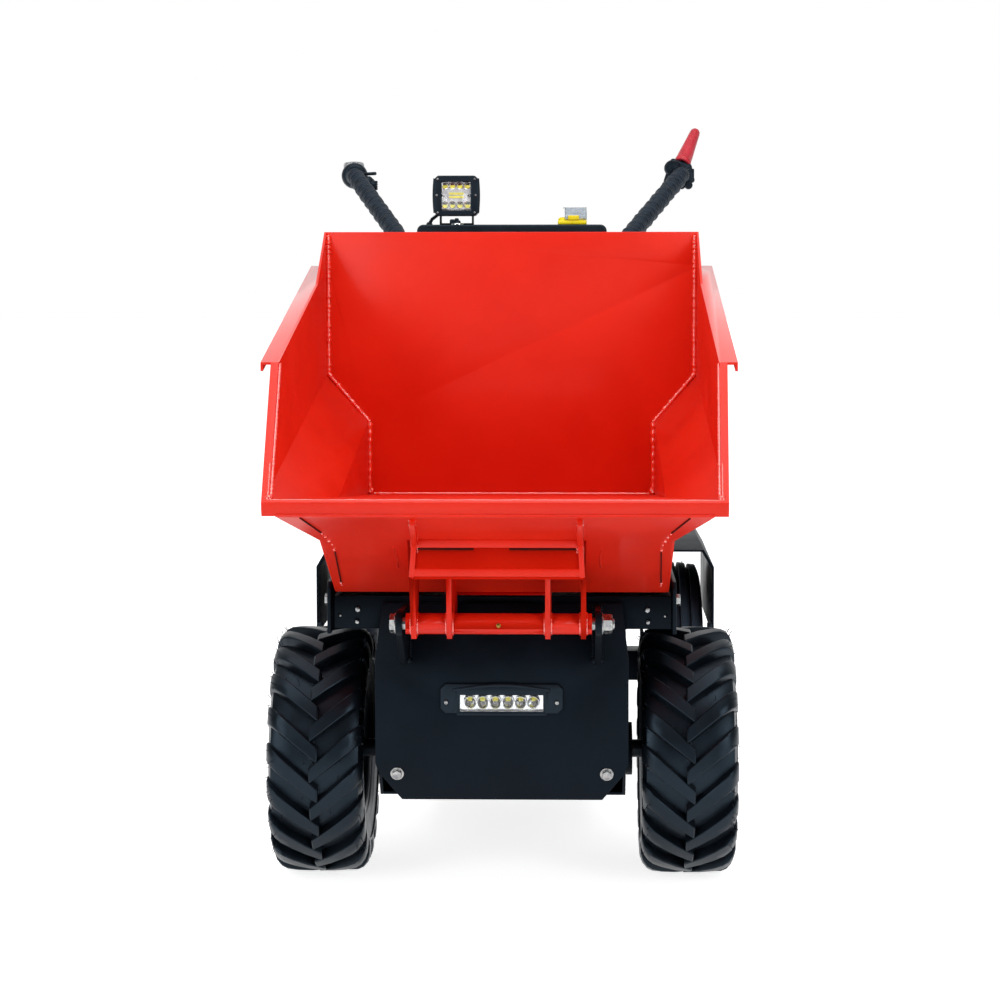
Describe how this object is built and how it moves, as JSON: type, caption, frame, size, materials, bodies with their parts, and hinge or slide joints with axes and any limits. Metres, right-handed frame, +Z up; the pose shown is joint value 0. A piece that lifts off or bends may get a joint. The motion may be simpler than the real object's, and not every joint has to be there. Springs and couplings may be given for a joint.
{
  "type": "site dumper",
  "caption": "Compact battery site dumper with a forward-tipping steel skip, lugged drive wheels, steered rear axle and a handlebar worked from a rear step.",
  "frame": {"origin": "on the ground, under the middle of the machine's length and width", "axes": "+Z up, the skip and the drive wheels at -Y, +X to the right seen from the front"},
  "size_m": [0.776, 1.908, 1.2991],
  "materials": {
    "skip_paint": "gloss orange-red paint with rubbed edges",
    "black_paint": "satin black powder coat",
    "zinc": "zinc-plated steel",
    "steel": "ground steel",
    "cast": "painted casting",
    "front_tyre": "black rubber",
    "rear_tyre": "black rubber",
    "wheel_paint": "black wheel paint",
    "rubber": "black moulded rubber",
    "black_plastic": "black moulded plastic",
    "red_plastic": "red moulded sleeve",
    "yellow_plastic": "yellow moulded plastic",
    "clear_plastic": "clear moulded plastic",
    "lamp_lens": "clear lamp lens",
    "battery": "battery case",
    "bar_wrap": "black spiral wrap"
  },
  "bodies": {
    "chassis": {"frame": "black_paint", "deck_frame": "black_paint", "spine": "black_paint", "front_apron": "black_paint", "pivot_ears": "black_paint", "pivot_pin": "zinc", "rest_pads": "rubber", "battery_block": "battery", "front_axle_housing": "cast", "front_light_housing": "black_plastic", "lamp_lenses": "lamp_lens", "steering_mast": "black_paint", "console_box": "black_plastic", "work_light_housing": "black_plastic", "work_light_bracket": "black_paint", "work_light_lead": "rubber", "key_switch": "black_plastic", "emergency_switch": "yellow_plastic", "emergency_cover": "clear_plastic", "rear_platform": "black_paint"},
    "skip": {"skip_rim": "skip_paint", "skip_side_right": "skip_paint", "skip_side_left": "skip_paint", "skip_back": "skip_paint", "skip_floor": "skip_paint", "skip_underpan": "skip_paint", "skip_hangers": "skip_paint"},
    "lift_body": {"lift_body": "black_paint"},
    "lift_rod": {"lift_rod": "steel"},
    "handlebar": {"handlebar_tube": "black_paint", "bar_wraps": "bar_wrap", "bar_grips": "rubber", "hand_dial": "black_plastic", "lever_housing": "black_plastic", "red_lever": "red_plastic"},
    "rear_axle": {"rear_axle_beam": "black_paint", "rear_fenders": "black_paint"},
    "front_wheel_left": {"front_tyre_left": "front_tyre", "front_rim_left": "wheel_paint"},
    "front_wheel_right": {"front_tyre_right": "front_tyre", "front_rim_right": "wheel_paint"},
    "rear_wheel_left": {"rear_tyre_left": "rear_tyre", "rear_rim_left": "wheel_paint"},
    "rear_wheel_right": {"rear_tyre_right": "rear_tyre", "rear_rim_right": "wheel_paint"}
  },
  "joints": [
    {"name": "skip_tip", "type": "hinge", "parent": "chassis", "child": "skip", "pos_m": [0, -0.779, 0.471], "axis": [1, 0, 0], "range_deg": [0, 65]},
    {"name": "lift_swing", "type": "hinge", "parent": "chassis", "child": "lift_body", "pos_m": [0, -0.217, 0.25], "axis": [1, 0, 0], "range_deg": [-12, 2]},
    {"name": "lift_stroke", "type": "slide", "parent": "lift_body", "child": "lift_rod", "axis": [0, -0.8462, 0.5329], "range_m": [0, 0.2234]},
    {"name": "rear_axle_turn", "type": "hinge", "parent": "chassis", "child": "rear_axle", "pos_m": [0, 0.334, 0.33], "axis": [0, 0, 1], "range_deg": [-22, 22]},
    {"name": "handlebar_turn", "type": "hinge", "parent": "chassis", "child": "handlebar", "pos_m": [0, 0.063, 0.905], "axis": [0, 0, 1], "range_deg": [-22, 22]},
    {"name": "front_wheel_left_spin", "type": "hinge", "parent": "chassis", "child": "front_wheel_left", "pos_m": [-0.305, -0.457, 0.2055], "axis": [1, 0, 0], "continuous": true},
    {"name": "front_wheel_right_spin", "type": "hinge", "parent": "chassis", "child": "front_wheel_right", "pos_m": [0.305, -0.457, 0.2055], "axis": [1, 0, 0], "continuous": true},
    {"name": "rear_wheel_left_spin", "type": "hinge", "parent": "rear_axle", "child": "rear_wheel_left", "pos_m": [-0.322, 0.334, 0.206], "axis": [1, 0, 0], "continuous": true},
    {"name": "rear_wheel_right_spin", "type": "hinge", "parent": "rear_axle", "child": "rear_wheel_right", "pos_m": [0.322, 0.334, 0.206], "axis": [1, 0, 0], "continuous": true}
  ],
  "couplings": [
    {"joint": "lift_swing", "follows": "skip_tip", "ratio": -0.14946},
    {"joint": "lift_stroke", "follows": "skip_tip", "m_per_rad": 0.19342},
    {"joint": "handlebar_turn", "follows": "rear_axle_turn", "ratio": -1}
  ]
}
